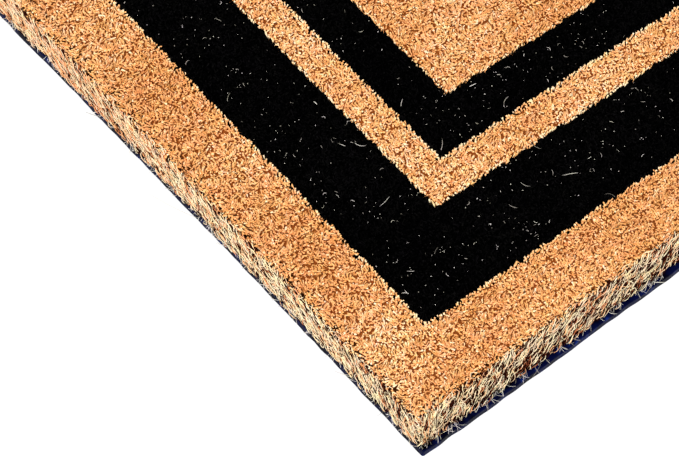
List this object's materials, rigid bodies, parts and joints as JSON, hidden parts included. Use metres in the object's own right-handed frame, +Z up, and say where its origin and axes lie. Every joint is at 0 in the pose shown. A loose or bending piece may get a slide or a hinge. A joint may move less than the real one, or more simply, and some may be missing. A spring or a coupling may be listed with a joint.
{
  "type": "door mat",
  "caption": "Flat rectangular coir door mat: dense cut pile in natural tan with concentric black frames, on a thin vinyl backing sheet.",
  "frame": {"origin": "centre of the underside, on the floor", "axes": "+X along the mat's length, +Y along its width away from the front edge, +Z up out of the pile"},
  "size_m": [0.762, 0.457, 0.017],
  "materials": {
    "natural_coir": "undyed coconut fibre, cut pile, matt and bristly",
    "black_coir": "black dyed coconut fibre, cut pile, matt and bristly",
    "vinyl_backing": "navy-black soft vinyl, satin, with a finely textured underside"
  },
  "bodies": {
    "root": {"vinyl_backing": "vinyl_backing", "natural_centre": "natural_coir", "natural_border_front": "natural_coir", "natural_border_right": "natural_coir", "natural_border_back": "natural_coir", "natural_border_left": "natural_coir", "outer_black_band_front": "black_coir", "outer_black_band_right": "black_coir", "outer_black_band_back": "black_coir", "outer_black_band_left": "black_coir", "natural_stripe_front": "natural_coir", "natural_stripe_right": "natural_coir", "natural_stripe_back": "natural_coir", "natural_stripe_left": "natural_coir", "inner_black_band_front": "black_coir", "inner_black_band_right": "black_coir", "inner_black_band_back": "black_coir", "inner_black_band_left": "black_coir"}
  },
  "joints": []
}
